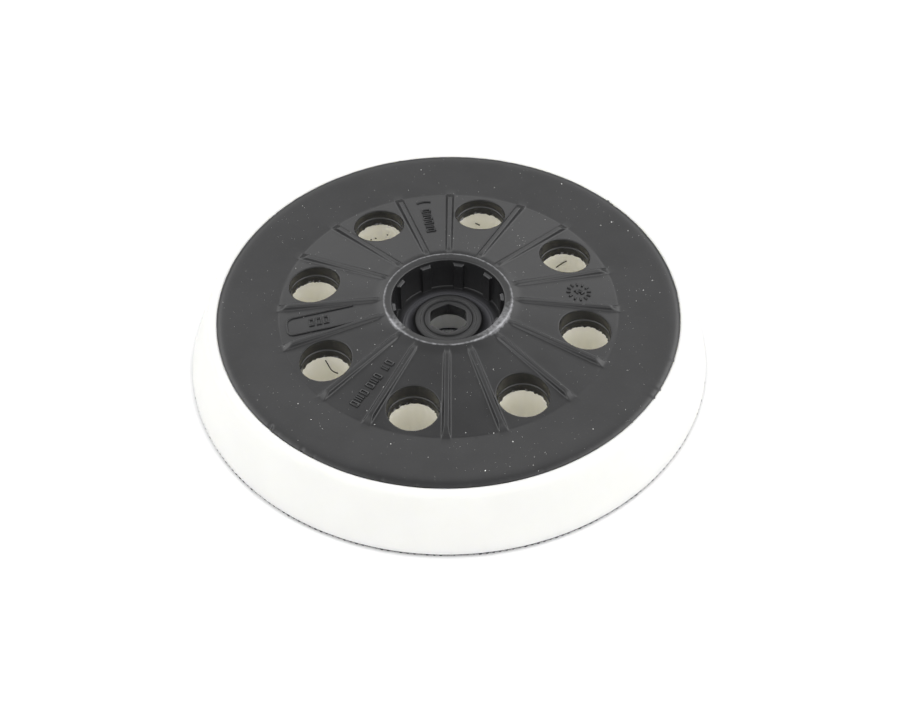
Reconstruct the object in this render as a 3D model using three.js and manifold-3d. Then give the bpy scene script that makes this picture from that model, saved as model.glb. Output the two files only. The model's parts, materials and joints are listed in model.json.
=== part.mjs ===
// Backing pad for a random-orbital sander: nominal 125 mm, eight dust holes, hook face.
// Millimetres, +Z up. The origin is the centre of the hook face, the flat bottom that takes the
// sanding disc. Angles run anticlockwise from +X, seen from above.
import * as THREE from "three";
import { ConvexGeometry } from "three/addons/geometries/ConvexGeometry.js";
import { mergeVertices } from "three/addons/utils/BufferGeometryUtils.js";
import Module from "manifold-3d";

// ---- Driving dimensions -------------------------------------------------------------------

// Hook cloth and foam
const padRadius = 61.1; // hook face and the foot of the foam
const clothThickness = 1.0; // woven ground and hooks together
const foamThickness = 10.4; // under the flat of the plate
const foamOverhang = 7.2; // how far the hook face reaches past the plate
const shoulderReach = 1.3; // from the plate's edge to the centre of the shoulder's arc
const shoulderRound = 1.5;
const shoulderDrop = 0.1; // the top of the shoulder, below the top of the plate

// Plate
const plateThickness = 3.85; // the flat outer ring
const edgeRun = 2.4; // the ring rolls over by edgeFall in the last edgeRun before its edge
const edgeFall = 0.15;
const edgeRound = 0.4;
const coneRise = 2.73; // from the flat ring up to the hub
const coneStep = 0.1; // the cone's foot stands proud of the flat ring by this much
const coneStepRun = 0.5;
const dishMargin = 1.2; // from the outermost point of a dust hole to the flat ring

// Hub, drive socket and spindle seat
const socketRadius = 13.05;
const socketDraft = 0.2; // the wall leans in by this much, from its mouth to the floor
const rimWidth = 1.85; // the worn band round the mouth
const rimFall = 0.15; // from the band's outer crest in to the mouth
const rimStand = 0.67; // the crest above the top of the cone
const rimFoot = 2.0; // from the crest out to the cone
const rimRoundRun = 0.4; // the crest is rounded over outside by this much
const rimRoundFall = 0.12;
const hubDrop = 3.0; // how far the hub's cup reaches down into the foam
const hubWall = 2.45;
const floorThickness = 1.6;
const toothCount = 10;
const toothAngle = 6; // degrees, the first tooth
const toothWidth = 2.3;
const toothDepth = 0.85;
const toothHeight = 7.4; // above the floor
const toothRoot = 0.6; // how far a tooth is buried in the wall
const bossRadius = 7.8;
const bossDraft = 1.6; // from the boss down to the floor, outwards
const bossStand = 2.1; // above the floor
const grooveOuter = 6.65;
const grooveInner = 5.65;
const grooveDepth = 0.3;
const grooveDraft = 0.1;
const hexAcrossFlats = 8.4;
const screwBoreRadius = 4.85;
const screwBoreDepth = 1.4; // round below, hexagonal above
const screwSeatRadius = 7.0; // raised seat for the washer of the retaining screw
const screwSeatStand = 0.2;

// Dust holes and the collars round them
const holeCount = 8;
const holeAngle = 30.4; // degrees, the first hole
const holePitchRadius = 32.5;
const holeRadius = 6.0;
const lipStep = 0.25; // the lower part of the bore is narrower by this much
const lipHeight = 2.8; // the height of that lower part
const collarWall = 1.4;
const collarDrop = 1.2; // how far a collar reaches below the plate

// Ribs, one on each side of every dust hole
const ribOffset = 1.42; // from the side of the hole to the middle line of the rib
const ribWidth = 1.1;
const ribStartHeight = 0.45; // above the cone, at the hub's rim
const ribEndHeight = 1.0; // above the cone, where the end ramp begins
const ribRamp = 1.8; // length of the end ramp
const ribDraft = 0.42; // wider by this much on each side, per millimetre of depth
const ribRoot = 1.4; // how deep a rib is buried in the cone

// Clearances
const foamGap = 0.3; // round the plate's edge, the hub cup and the collars
const foamHoleGap = 0.1; // a foam dust hole against the plate's
const clothHoleGap = 0.1; // a cloth dust hole against the foam's
const centreHoleGap = 0.5; // the foam's centre hole against the screw seat
const overrun = 1; // how far a cut runs past the pad, and a collar up into the plate
const mergeDistance = 1e-4; // corners closer than this are one corner

// Facets
const roundFacets = 72;
const holeFacets = 24;
const shoulderFacets = 5;

// ---- Sizes that follow ----------------------------------------------------------------------

const plateRadius = padRadius - foamOverhang;
const plateBottom = clothThickness + foamThickness;
const plateTop = plateBottom + plateThickness;
const dishRadius = holePitchRadius + holeRadius + dishMargin;
const coneTop = plateTop + coneRise;
const coneFoot = plateTop + coneStep;
const coneFootRadius = dishRadius - coneStepRun;
const crestRadius = socketRadius + rimWidth;
const coneRadius = crestRadius + rimFoot;
const cupRadius = socketRadius + hubWall;
const hubBottom = plateBottom - hubDrop;
const floorHeight = hubBottom + floorThickness;
const bossTop = floorHeight + bossStand;
const toothTop = floorHeight + toothHeight;
const screwSeatBottom = hubBottom - screwSeatStand;
const screwBoreTop = screwSeatBottom + screwBoreDepth;
const collarRadius = holeRadius + collarWall;
const collarBottom = plateBottom - collarDrop;
const foamHoleRadius = holeRadius + foamHoleGap;
const clothHoleRadius = foamHoleRadius + clothHoleGap;
const centreHoleRadius = screwSeatRadius + centreHoleGap;
const ribAngle = Math.asin((holeRadius + ribOffset) / holePitchRadius);
const ribStartRadius = crestRadius + rimRoundRun;
const aboveAll = coneTop + rimStand + overrun;
const belowAll = -overrun;

const radians = THREE.MathUtils.degToRad;

// Height of the cone at a radius.
function coneHeight(radius) {
  const share = (radius - coneRadius) / (coneFootRadius - coneRadius);
  return coneTop + (coneFoot - coneTop) * share;
}

// ---- Solids ---------------------------------------------------------------------------------

const wasm = await Module();
wasm.setup();

function solidOf(geometry) {
  geometry.deleteAttribute("normal");
  geometry.deleteAttribute("uv");
  const merged = mergeVertices(geometry, mergeDistance);
  return new wasm.Manifold(
    new wasm.Mesh({
      numProp: 3,
      vertProperties: new Float32Array(merged.attributes.position.array),
      triVerts: new Uint32Array(merged.index.array),
    }),
  );
}

function meshOf(name, solid, material) {
  const { numProp, vertProperties, triVerts } = solid.getMesh();
  const geometry = new THREE.BufferGeometry();
  geometry.setAttribute("position", new THREE.BufferAttribute(vertProperties, numProp));
  geometry.setIndex(new THREE.BufferAttribute(triVerts, 1));
  geometry.computeVertexNormals();
  const mesh = new THREE.Mesh(geometry, material);
  mesh.name = name;
  return mesh;
}

// A profile of [radius, height] points, anticlockwise, turned about +Z.
function turned(profile, facets = roundFacets) {
  const points = profile.map(([radius, height]) => new THREE.Vector2(radius, height));
  return new THREE.LatheGeometry(points, facets).rotateX(Math.PI / 2);
}

// A solid disc from one height to another.
function disc(radius, bottom, top, facets = roundFacets) {
  return turned([[0, bottom], [radius, bottom], [radius, top], [0, top]], facets);
}

// Geometry that stands on the axis, moved out to each dust hole.
function atDustHoles(make) {
  return Array.from({ length: holeCount }, (_, i) => {
    const angle = radians(holeAngle) + (2 * Math.PI * i) / holeCount;
    return solidOf(make().translate(holePitchRadius, 0, 0).rotateZ(angle));
  });
}

const addAll = (solid, more) => more.reduce((sum, next) => sum.add(next), solid);
const cutAll = (solid, cuts) => cuts.reduce((rest, next) => rest.subtract(next), solid);

// ---- Backing plate --------------------------------------------------------------------------

// Flat ring, cone, worn rim, socket, floor and boss are one turned shape.
function plateBody() {
  return turned([
    [0, screwSeatBottom],
    [screwSeatRadius, screwSeatBottom],
    [screwSeatRadius, hubBottom],
    [cupRadius, hubBottom],
    [cupRadius, plateBottom],
    [plateRadius - edgeRound, plateBottom],
    [plateRadius, plateBottom + edgeRound],
    [plateRadius, plateTop - edgeFall - edgeRound],
    [plateRadius - edgeRound, plateTop - edgeFall],
    [plateRadius - edgeRun, plateTop],
    [dishRadius, plateTop],
    [coneFootRadius, coneFoot],
    [coneRadius, coneTop],
    [crestRadius + rimRoundRun, coneTop + rimStand - rimRoundFall],
    [crestRadius, coneTop + rimStand],
    [socketRadius, coneTop + rimStand - rimFall],
    [socketRadius - socketDraft, floorHeight],
    [bossRadius + bossDraft, floorHeight],
    [bossRadius, bossTop],
    [grooveOuter, bossTop],
    [grooveOuter - grooveDraft, bossTop - grooveDepth],
    [grooveInner + grooveDraft, bossTop - grooveDepth],
    [grooveInner, bossTop],
    [0, bossTop],
  ]);
}

// One drafted rib, lying along +X: it leaves the hub's rim and ends in a short ramp.
function rib() {
  const rampStart = dishRadius - ribRamp;
  const section = (radius, top) => {
    const bottom = coneHeight(radius) - ribRoot;
    const foot = ribWidth / 2 + ribDraft * (top - bottom);
    return [-1, 1].flatMap((side) => [
      new THREE.Vector3(radius, (side * ribWidth) / 2, top),
      new THREE.Vector3(radius, side * foot, bottom),
    ]);
  };
  return new ConvexGeometry([
    ...section(ribStartRadius, coneHeight(ribStartRadius) + ribStartHeight),
    ...section(rampStart, coneHeight(rampStart) + ribEndHeight),
    ...section(dishRadius, plateTop),
  ]);
}

function ribs() {
  return Array.from({ length: holeCount }, (_, i) => {
    const middle = radians(holeAngle) + (2 * Math.PI * i) / holeCount;
    return [middle - ribAngle, middle + ribAngle].map((angle) => solidOf(rib().rotateZ(angle)));
  }).flat();
}

// Driving teeth inside the socket, from its floor up.
function teeth() {
  const inner = socketRadius - toothDepth;
  const length = toothDepth + toothRoot;
  const height = toothTop - floorHeight + toothRoot;
  return Array.from({ length: toothCount }, (_, i) => {
    const tooth = new THREE.BoxGeometry(length, toothWidth, height);
    tooth.translate(inner + length / 2, 0, toothTop - height / 2);
    return solidOf(tooth.rotateZ(radians(toothAngle) + (2 * Math.PI * i) / toothCount));
  });
}

// Hexagon for the spindle above, round bore for the retaining screw below.
function spindleHole() {
  const hex = new THREE.CylinderGeometry(
    hexAcrossFlats / Math.sqrt(3),
    hexAcrossFlats / Math.sqrt(3),
    aboveAll - screwBoreTop + overrun,
    6,
  );
  hex.rotateX(Math.PI / 2).translate(0, 0, (aboveAll + screwBoreTop - overrun) / 2);
  return [solidOf(hex), solidOf(disc(screwBoreRadius, belowAll, screwBoreTop, holeFacets))];
}

// The bore steps in to a narrower lip near its lower end.
function dustBore() {
  const stepHeight = collarBottom + lipHeight;
  const lipRadius = holeRadius - lipStep;
  return turned(
    [
      [0, belowAll],
      [lipRadius, belowAll],
      [lipRadius, stepHeight],
      [holeRadius, stepHeight],
      [holeRadius, aboveAll],
      [0, aboveAll],
    ],
    holeFacets,
  );
}

function backingPlate() {
  const collar = () => disc(collarRadius, collarBottom, plateBottom + overrun, holeFacets);
  const body = addAll(solidOf(plateBody()), [...ribs(), ...teeth(), ...atDustHoles(collar)]);
  return cutAll(body, [...spindleHole(), ...atDustHoles(dustBore)]);
}

// ---- Foam pad -------------------------------------------------------------------------------

// The shoulder's arc, from where it leaves the sloping side up to its crown.
function shoulderArc(centreRadius, centreHeight) {
  const run = padRadius - centreRadius;
  const drop = centreHeight - clothThickness;
  const sideAngle = Math.atan2(run, drop) - Math.asin(shoulderRound / Math.hypot(run, drop));
  return Array.from({ length: shoulderFacets + 1 }, (_, i) => {
    const angle = sideAngle + ((Math.PI / 2 - sideAngle) * i) / shoulderFacets;
    return [
      centreRadius + shoulderRound * Math.cos(angle),
      centreHeight + shoulderRound * Math.sin(angle),
    ];
  });
}

function foamBody() {
  const recessRadius = plateRadius + foamGap;
  const cupRecess = cupRadius + foamGap;
  const arcHeight = plateTop - shoulderDrop - shoulderRound;
  return turned([
    [centreHoleRadius, clothThickness],
    [padRadius, clothThickness],
    ...shoulderArc(plateRadius + shoulderReach, arcHeight),
    [recessRadius, plateTop - shoulderDrop],
    [recessRadius, plateBottom],
    [cupRecess, plateBottom],
    [cupRecess, hubBottom],
    [centreHoleRadius, hubBottom],
    [centreHoleRadius, clothThickness],
  ]);
}

function foamPad() {
  const bore = () => disc(foamHoleRadius, belowAll, aboveAll, holeFacets);
  const recess = () => disc(collarRadius + foamGap, collarBottom, aboveAll, holeFacets);
  return cutAll(solidOf(foamBody()), [...atDustHoles(bore), ...atDustHoles(recess)]);
}

// ---- Hook cloth -----------------------------------------------------------------------------

function hookCloth() {
  const sheet = turned([
    [centreHoleRadius, 0],
    [padRadius, 0],
    [padRadius, clothThickness],
    [centreHoleRadius, clothThickness],
    [centreHoleRadius, 0],
  ]);
  const bore = () => disc(clothHoleRadius, belowAll, aboveAll, holeFacets);
  return cutAll(solidOf(sheet), atDustHoles(bore));
}

// ---- Assembly -------------------------------------------------------------------------------

const glassFilledNylon = new THREE.MeshStandardMaterial({
  color: 0x4b4b4e,
  roughness: 0.55,
  metalness: 0,
});
const whiteFoam = new THREE.MeshStandardMaterial({
  color: 0xf4f3ee,
  roughness: 0.95,
  metalness: 0,
});
const blackHookCloth = new THREE.MeshStandardMaterial({
  color: 0x1d2029,
  roughness: 0.85,
  metalness: 0,
});

const pad = new THREE.Group();
pad.name = "sander_backing_pad";
pad.add(
  meshOf("backing_plate", backingPlate(), glassFilledNylon),
  meshOf("foam_pad", foamPad(), whiteFoam),
  meshOf("hook_cloth", hookCloth(), blackHookCloth),
);

export default pad;
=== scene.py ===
# %% [markdown]
# # The backing pad of a random-orbital sander
#
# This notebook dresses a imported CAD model: a round pad, 122 mm across, made of a ribbed nylon
# plate, a white foam cushion and a black hook cloth. The CAD solids fix every size. Each piece
# here is built again with a fine surface, in the same frame, and stands in for its solid.

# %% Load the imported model
import json
import math
import random
import bmesh
import bpy
import numpy as np
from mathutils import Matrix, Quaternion, Vector, noise
from mathutils.geometry import delaunay_2d_cdt


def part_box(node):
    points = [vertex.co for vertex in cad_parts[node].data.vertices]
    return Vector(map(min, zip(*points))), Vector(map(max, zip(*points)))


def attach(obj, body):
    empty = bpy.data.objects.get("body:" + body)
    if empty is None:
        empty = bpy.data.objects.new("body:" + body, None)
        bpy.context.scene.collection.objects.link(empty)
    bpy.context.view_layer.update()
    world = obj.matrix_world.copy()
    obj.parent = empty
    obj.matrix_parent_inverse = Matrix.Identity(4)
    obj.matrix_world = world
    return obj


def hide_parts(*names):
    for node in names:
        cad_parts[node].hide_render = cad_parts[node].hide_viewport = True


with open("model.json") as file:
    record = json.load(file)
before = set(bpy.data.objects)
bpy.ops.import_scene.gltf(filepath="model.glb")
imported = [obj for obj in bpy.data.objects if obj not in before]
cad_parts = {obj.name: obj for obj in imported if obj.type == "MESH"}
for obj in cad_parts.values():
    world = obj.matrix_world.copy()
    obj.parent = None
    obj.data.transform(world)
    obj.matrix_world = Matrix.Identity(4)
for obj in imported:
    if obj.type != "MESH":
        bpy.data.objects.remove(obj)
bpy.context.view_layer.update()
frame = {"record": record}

# %% [markdown]
# ## Sizes from the frame
#
# Blender works in metres, and a maker thinks in millimetres, so every size below is in
# millimetres and is turned to metres once, where a mesh is made. The outer sizes, the heights of
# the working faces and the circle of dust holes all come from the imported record.

# %% Read the sizes
MM = 0.001
record = frame["record"]
mount_height = {m["name"]: m["pos_m"][2] / MM for m in record["mounts"]}
first_hole = next(o["box_m"] for o in record["physics"]["openings"] if o["name"] == "dust_hole_1")
hole_x, hole_y = ((first_hole[0][i] + first_hole[1][i]) / 2 / MM for i in (0, 1))

pad_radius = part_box("hook_cloth")[1][0] / MM
cloth_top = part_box("hook_cloth")[1][2] / MM
foam_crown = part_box("foam_pad")[1][2] / MM
plate_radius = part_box("backing_plate")[1][0] / MM
rim_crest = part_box("backing_plate")[1][2] / MM
ring_height = mount_height["brake_ring"]
boss_height = mount_height["spindle_seat"]
seat_height = mount_height["screw_seat"]
hole_pitch = math.hypot(hole_x, hole_y)
hole_angle = math.atan2(hole_y, hole_x)
HOLES = 8
SECTOR = 2 * math.pi / HOLES
print(f"pad {pad_radius:.1f}, plate {plate_radius:.1f}, holes on {hole_pitch:.2f} mm radius")

# %% [markdown]
# ## Camera
#
# The pad is looked at from the front and above, through a long lens, which keeps its circles
# nearly true ellipses. The camera is placed by its distance and height angle, aimed at a point
# near the middle of the hook face, and rolled by about one degree.

# %% Place the camera
CAMERA_DISTANCE = 459.8
CAMERA_ELEVATION = math.radians(46.67)
CAMERA_ROLL = math.radians(-0.976)
CAMERA_AIM = Vector((0.12, -0.41, 0.0))
LENS = 77.03

camera = bpy.data.objects.new("camera", bpy.data.cameras.new("camera"))
bpy.context.collection.objects.link(camera)
camera.data.lens = LENS
camera.data.clip_start, camera.data.clip_end = 0.01, 20
eye = Vector((0, -math.cos(CAMERA_ELEVATION), math.sin(CAMERA_ELEVATION))) * CAMERA_DISTANCE
camera.location = eye * MM
camera.rotation_mode = "QUATERNION"
looking = (CAMERA_AIM - eye).to_track_quat("-Z", "Y")
camera.rotation_quaternion = looking @ Quaternion((0, 0, 1), CAMERA_ROLL)
bpy.context.scene.camera = camera
print("camera stands at", tuple(round(c, 1) for c in eye), "mm")

# %% [markdown]
# ## One helper for nodes
#
# Materials and Geometry Nodes are both trees of nodes. This helper adds any node, sets its
# properties, and fills each input from a number or from another node's output.


# %% Add a node
def add(tree, kind, inputs=None, **settings):
    node = tree.nodes.new(kind)
    for key, value in settings.items():
        setattr(node, key, value)
    for key, value in (inputs or {}).items():
        if isinstance(value, bpy.types.NodeSocket):
            tree.links.new(value, node.inputs[key])
        else:
            node.inputs[key].default_value = value
    return node


# %% [markdown]
# Colours are written as sRGB hex, the way a paint chart gives them. Shaders need them linear, so
# one function turns them.


# %% Turn a hex colour to linear
def linear(hex_colour):
    shares = [int(hex_colour[i : i + 2], 16) / 255 for i in (1, 3, 5)]
    return [s / 12.92 if s <= 0.04045 else ((s + 0.055) / 1.055) ** 2.4 for s in shares] + [1.0]


# %% [markdown]
# ## Materials
#
# Each material starts as an empty tree with a Principled shader. Patterns read Object
# coordinates, which are metres here, so a pattern with a period of p millimetres has a scale of
# 1000 / p.


# %% Start a material
def start_material(name, **sockets):
    material = bpy.data.materials.new(name)
    material.use_nodes = True
    tree = material.node_tree
    tree.nodes.clear()
    shader = add(tree, "ShaderNodeBsdfPrincipled", {k.replace("_", " "): v for k, v in sockets.items()})
    add(tree, "ShaderNodeOutputMaterial", {"Surface": shader.outputs[0]})
    place = add(tree, "ShaderNodeTexCoord").outputs["Object"]
    return material, tree, shader, place


def per_mm(period):
    return 1 / (period * MM)


def ramp(tree, factor, *stops):
    """A colour ramp with stops of (place, colour)."""
    node = add(tree, "ShaderNodeValToRGB", {"Fac": factor})
    node.color_ramp.elements[0].position, node.color_ramp.elements[1].position = stops[0][0], stops[-1][0]
    node.color_ramp.elements[0].color, node.color_ramp.elements[1].color = stops[0][1], stops[-1][1]
    for position, colour in stops[1:-1]:
        node.color_ramp.elements.new(position).color = colour
    return node.outputs["Color"]


# %% [markdown]
# ### Glass-filled nylon
#
# The plate is injection moulded in black polyamide with about 30 % glass. The glass floats up to
# the skin, so the moulding is a soft, dusty dark grey, not a glossy black: a broad, weak shine with
# faint cloudy patches. The crest of the hub's rim and two places on it are pale, partly from real
# wear and partly as a painted highlight, and spots on the lower lips of the dust bores are painted
# glints: one attribute marks those places. Another paints light in the socket: its floor lighter
# away from the wall, and the tops of the teeth faintly pale as painted glints. The grain of the
# tool's spark finish is about 0.2 mm, and it is drawn at 0.3 mm so that it shows.


# %% Make the nylon
def make_nylon():
    material, tree, shader, place = start_material(
        "glass_filled_nylon_moulded", IOR=1.53, Roughness=0.5, Specular_IOR_Level=0.5
    )
    cloud = add(tree, "ShaderNodeTexNoise", {"Vector": place, "Scale": per_mm(9), "Detail": 4.0})
    grain = add(tree, "ShaderNodeTexNoise", {"Vector": place, "Scale": per_mm(0.3), "Detail": 2.0})
    fibre = add(tree, "ShaderNodeTexVoronoi", {"Vector": place, "Scale": per_mm(0.9)})
    skin = ramp(
        tree, cloud.outputs["Fac"], (0.35, linear("#19191a")), (0.65, linear("#1f1f20"))
    )
    spots = ramp(tree, fibre.outputs["Distance"], (0.0, (1, 1, 1, 1)), (0.16, (0, 0, 0, 1)))
    spotted = add(
        tree,
        "ShaderNodeMix",
        {"Factor": spots, 6: skin, 7: linear("#323233")},
        data_type="RGBA",
    )
    # Painted light in the socket: its floor lighter away from the wall, and faintly pale tooth tops as
    # painted glints.
    painted_socket_light = add(tree, "ShaderNodeAttribute", attribute_name="painted_socket_light").outputs["Fac"]
    socket_lit = add(
        tree,
        "ShaderNodeMix",
        {"Factor": painted_socket_light, 6: spotted.outputs[2], 7: linear("#5c5c60")},
        data_type="RGBA",
    )
    # Pale marks: partly real wear, partly a painted highlight on the rim's crest, and painted glints on the
    # bore lips.
    wear_and_highlight = add(tree, "ShaderNodeAttribute", attribute_name="wear_and_highlight").outputs["Fac"]
    scuff_and_glint_noise = add(
        tree, "ShaderNodeTexNoise", {"Vector": place, "Scale": per_mm(0.8), "Detail": 5.0}
    )
    rubbed_and_lit = add(tree, "ShaderNodeMath", {0: wear_and_highlight, 1: scuff_and_glint_noise.outputs["Fac"]}, operation="MULTIPLY")
    pale = ramp(tree, rubbed_and_lit.outputs[0], (0.14, (0, 0, 0, 1)), (0.62, (1, 1, 1, 1)))
    colour = add(
        tree,
        "ShaderNodeMix",
        {"Factor": pale, 6: socket_lit.outputs[2], 7: linear("#9a9a9d")},
        data_type="RGBA",
    )
    tree.links.new(colour.outputs[2], shader.inputs["Base Color"])
    gloss = add(
        tree,
        "ShaderNodeMapRange",
        {"Value": cloud.outputs["Fac"], "To Min": 0.3, "To Max": 0.38},
    )
    tree.links.new(gloss.outputs[0], shader.inputs["Roughness"])
    bump = add(
        tree,
        "ShaderNodeBump",
        {"Height": grain.outputs["Fac"], "Strength": 0.25, "Distance": 0.03 * MM},
    )
    waves = add(
        tree,
        "ShaderNodeBump",
        {"Height": cloud.outputs["Fac"], "Strength": 0.3, "Distance": 0.25 * MM, "Normal": bump.outputs[0]},
    )
    tree.links.new(waves.outputs[0], shader.inputs["Normal"])
    return material


nylon = make_nylon()
print("made", nylon.name)

# %% [markdown]
# ### Cast polyurethane foam
#
# The cushion is a firm white foam with a smooth cast skin. Light goes a few millimetres into it,
# so it needs subsurface scattering. The walls of its holes are painted a creamier colour and given
# a faint glow: painted light that stands in for light that came in through the skin and leaves
# there again. An attribute marks them. The skin shows fine pores of about 0.4 mm when seen close.


# %% Make the foam
def make_foam():
    material, tree, shader, place = start_material(
        "cast_polyurethane_foam",
        Roughness=0.8,
        IOR=1.45,
        Subsurface_Weight=0.4,
        Subsurface_Radius=(2.5, 2.5, 2.0),
        Subsurface_Scale=MM,
    )
    tone = add(tree, "ShaderNodeTexNoise", {"Vector": place, "Scale": per_mm(12), "Detail": 3.0})
    skin = ramp(tree, tone.outputs["Fac"], (0.3, linear("#dbdbd8")), (0.7, linear("#dededb")))
    # Painted light: the walls of the holes get a creamier colour and a faint glow for light that comes
    # through the foam.
    painted_hole_glow = add(tree, "ShaderNodeAttribute", attribute_name="painted_hole_glow").outputs["Fac"]
    colour = add(
        tree, "ShaderNodeMix", {"Factor": painted_hole_glow, 6: skin, 7: linear("#f5f3e8")}, data_type="RGBA"
    )
    tree.links.new(colour.outputs[2], shader.inputs["Base Color"])
    glow = add(tree, "ShaderNodeMath", {0: painted_hole_glow, 1: 0.07}, operation="MULTIPLY")
    tree.links.new(glow.outputs[0], shader.inputs["Emission Strength"])
    shader.inputs["Emission Color"].default_value = linear("#fff8e4")
    pores = add(tree, "ShaderNodeTexNoise", {"Vector": place, "Scale": per_mm(0.4), "Detail": 3.0})
    bump = add(
        tree,
        "ShaderNodeBump",
        {"Height": pores.outputs["Fac"], "Strength": 0.3, "Distance": 0.05 * MM},
    )
    tree.links.new(bump.outputs[0], shader.inputs["Normal"])
    return material


foam_white = make_foam()
print("made", foam_white.name)

# %% [markdown]
# ### Black hook tape
#
# The hook face is woven from black polyamide yarn, and its hooks are single drawn filaments: the
# ground is matt with a faint blue cast, and the filaments have a small shine.


# %% Make the yarn and the filament
def make_yarn():
    material, tree, shader, place = start_material(
        "woven_polyamide_ground", Roughness=0.75, IOR=1.53, Sheen_Weight=0.15
    )
    weave = add(
        tree,
        "ShaderNodeTexWave",
        {"Vector": place, "Scale": per_mm(0.7) / (2 * math.pi), "Distortion": 1.5, "Detail": 2.0},
    )
    colour = ramp(
        tree, weave.outputs["Fac"], (0.2, linear("#15171f")), (0.8, linear("#23262f"))
    )
    tree.links.new(colour, shader.inputs["Base Color"])
    bump = add(
        tree,
        "ShaderNodeBump",
        {"Height": weave.outputs["Fac"], "Strength": 0.4, "Distance": 0.08 * MM},
    )
    tree.links.new(bump.outputs[0], shader.inputs["Normal"])
    return material


def make_filament():
    material, tree, shader, place = start_material(
        "drawn_polyamide_filament", Roughness=0.35, IOR=1.53
    )
    tone = add(tree, "ShaderNodeTexNoise", {"Vector": place, "Scale": per_mm(2.5)})
    colour = ramp(
        tree, tone.outputs["Fac"], (0.35, linear("#10121a")), (0.65, linear("#1c2029"))
    )
    tree.links.new(colour, shader.inputs["Base Color"])
    return material


hook_ground = make_yarn()
hook_filament = make_filament()

# %% [markdown]
# ### Sanding dust and swarf
#
# A used pad carries pale crumbs of sanding dust, and a few dark hairs that hang in the holes.


# %% Make the dust and the swarf
def make_mottled(name, dark, pale, period, roughness):
    material, tree, shader, place = start_material(name, Roughness=roughness)
    tone = add(tree, "ShaderNodeTexNoise", {"Vector": place, "Scale": per_mm(period)})
    colour = ramp(tree, tone.outputs["Fac"], (0.35, linear(dark)), (0.65, linear(pale)))
    tree.links.new(colour, shader.inputs["Base Color"])
    return material


dust_white = make_mottled("sanding_dust_pale", "#8f8f8c", "#f2f2ef", 1.5, 0.8)
swarf_dark = make_mottled("swarf_dark", "#26241f", "#4a473c", 0.8, 0.6)

# %% [markdown]
# ## Shells
#
# Most surfaces here are turned: rings of points, one above the other, with faces between them. A
# Shell gathers rings and faces in millimetres, and becomes a mesh in metres.


# %% Gather rings and faces
class Shell:
    def __init__(self):
        self.points, self.faces = [], []

    def ring(self, points):
        start = len(self.points)
        self.points.extend(tuple(float(c) for c in p) for p in points)
        return list(range(start, len(self.points)))

    def bridge(self, first, second):
        """Faces between two rings that hold the same number of points."""
        for i in range(len(first)):
            j = (i + 1) % len(first)
            self.faces.append((first[i], first[j], second[j], second[i]))

    def stack(self, rows, below=None):
        """Rings from arrays of points, each joined to the one before it."""
        for row in rows:
            ring = self.ring(row)
            if below is not None:
                self.bridge(below, ring)
            below = ring
        return below


def circle(angles, radius, height):
    radius, height = np.broadcast_to(radius, angles.shape), np.broadcast_to(height, angles.shape)
    return np.stack([radius * np.cos(angles), radius * np.sin(angles), height], axis=1)


# %% [markdown]
# A mesh made from shells has double points where two shells meet. They are merged, the faces are
# turned outwards, and edges sharper than 50 degrees are kept sharp while the rest is smooth.


# %% Finish a mesh
SHARP = math.radians(50)


def link(name, mesh, material):
    piece = bpy.data.objects.new(name, mesh)
    bpy.context.collection.objects.link(piece)
    mesh.materials.clear()
    mesh.materials.append(material)
    return piece


def mesh_of(shells, name):
    mesh = bpy.data.meshes.new(name)
    points, faces = [], []
    for shell in shells:
        faces += [tuple(i + len(points) for i in face) for face in shell.faces]
        points += shell.points
    mesh.from_pydata([tuple(c * MM for c in p) for p in points], [], faces)
    return mesh


def close_up(mesh):
    work = bmesh.new()
    work.from_mesh(mesh)
    bmesh.ops.remove_doubles(work, verts=work.verts, dist=0.004 * MM)
    bmesh.ops.dissolve_degenerate(work, edges=work.edges, dist=0.001 * MM)
    bmesh.ops.recalc_face_normals(work, faces=work.faces)
    open_edges = sum(not e.is_manifold for e in work.edges)
    work.to_mesh(mesh)
    work.free()
    mesh.shade_smooth()
    mesh.set_sharp_from_angle(angle=SHARP)
    return open_edges


def register(piece, slot, *nodes):
    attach(piece, "root")
    if nodes:
        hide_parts(*nodes)
    mesh = piece.data
    mesh.calc_loop_triangles()
    print(f"{piece.name}: {len(mesh.loop_triangles)} triangles")
    return piece


# %% [markdown]
# ## One sector of a drilled disc
#
# The pad repeats eight times around its axis: one dust hole and two ribs to a sector. So every flat
# or gently shaped face is made as one 45 degree sector, with the hole cut out. A Delaunay
# triangulation fills the sector from a cloud of points, which lets the points crowd together
# where the shape is busy and thin out where it is flat. In the sector's own frame the hole lies
# on +X.

# %% Fill a sector with triangles
HALF = SECTOR / 2
HOLE_POINTS = 96


def polar(radii, angles):
    return np.stack([radii * np.cos(angles), radii * np.sin(angles)], axis=1)


def hole_ring(radius):
    turn = np.arange(HOLE_POINTS) * 2 * np.pi / HOLE_POINTS
    return np.array([hole_pitch, 0.0]) + polar(np.full(HOLE_POINTS, radius), turn)


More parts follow.
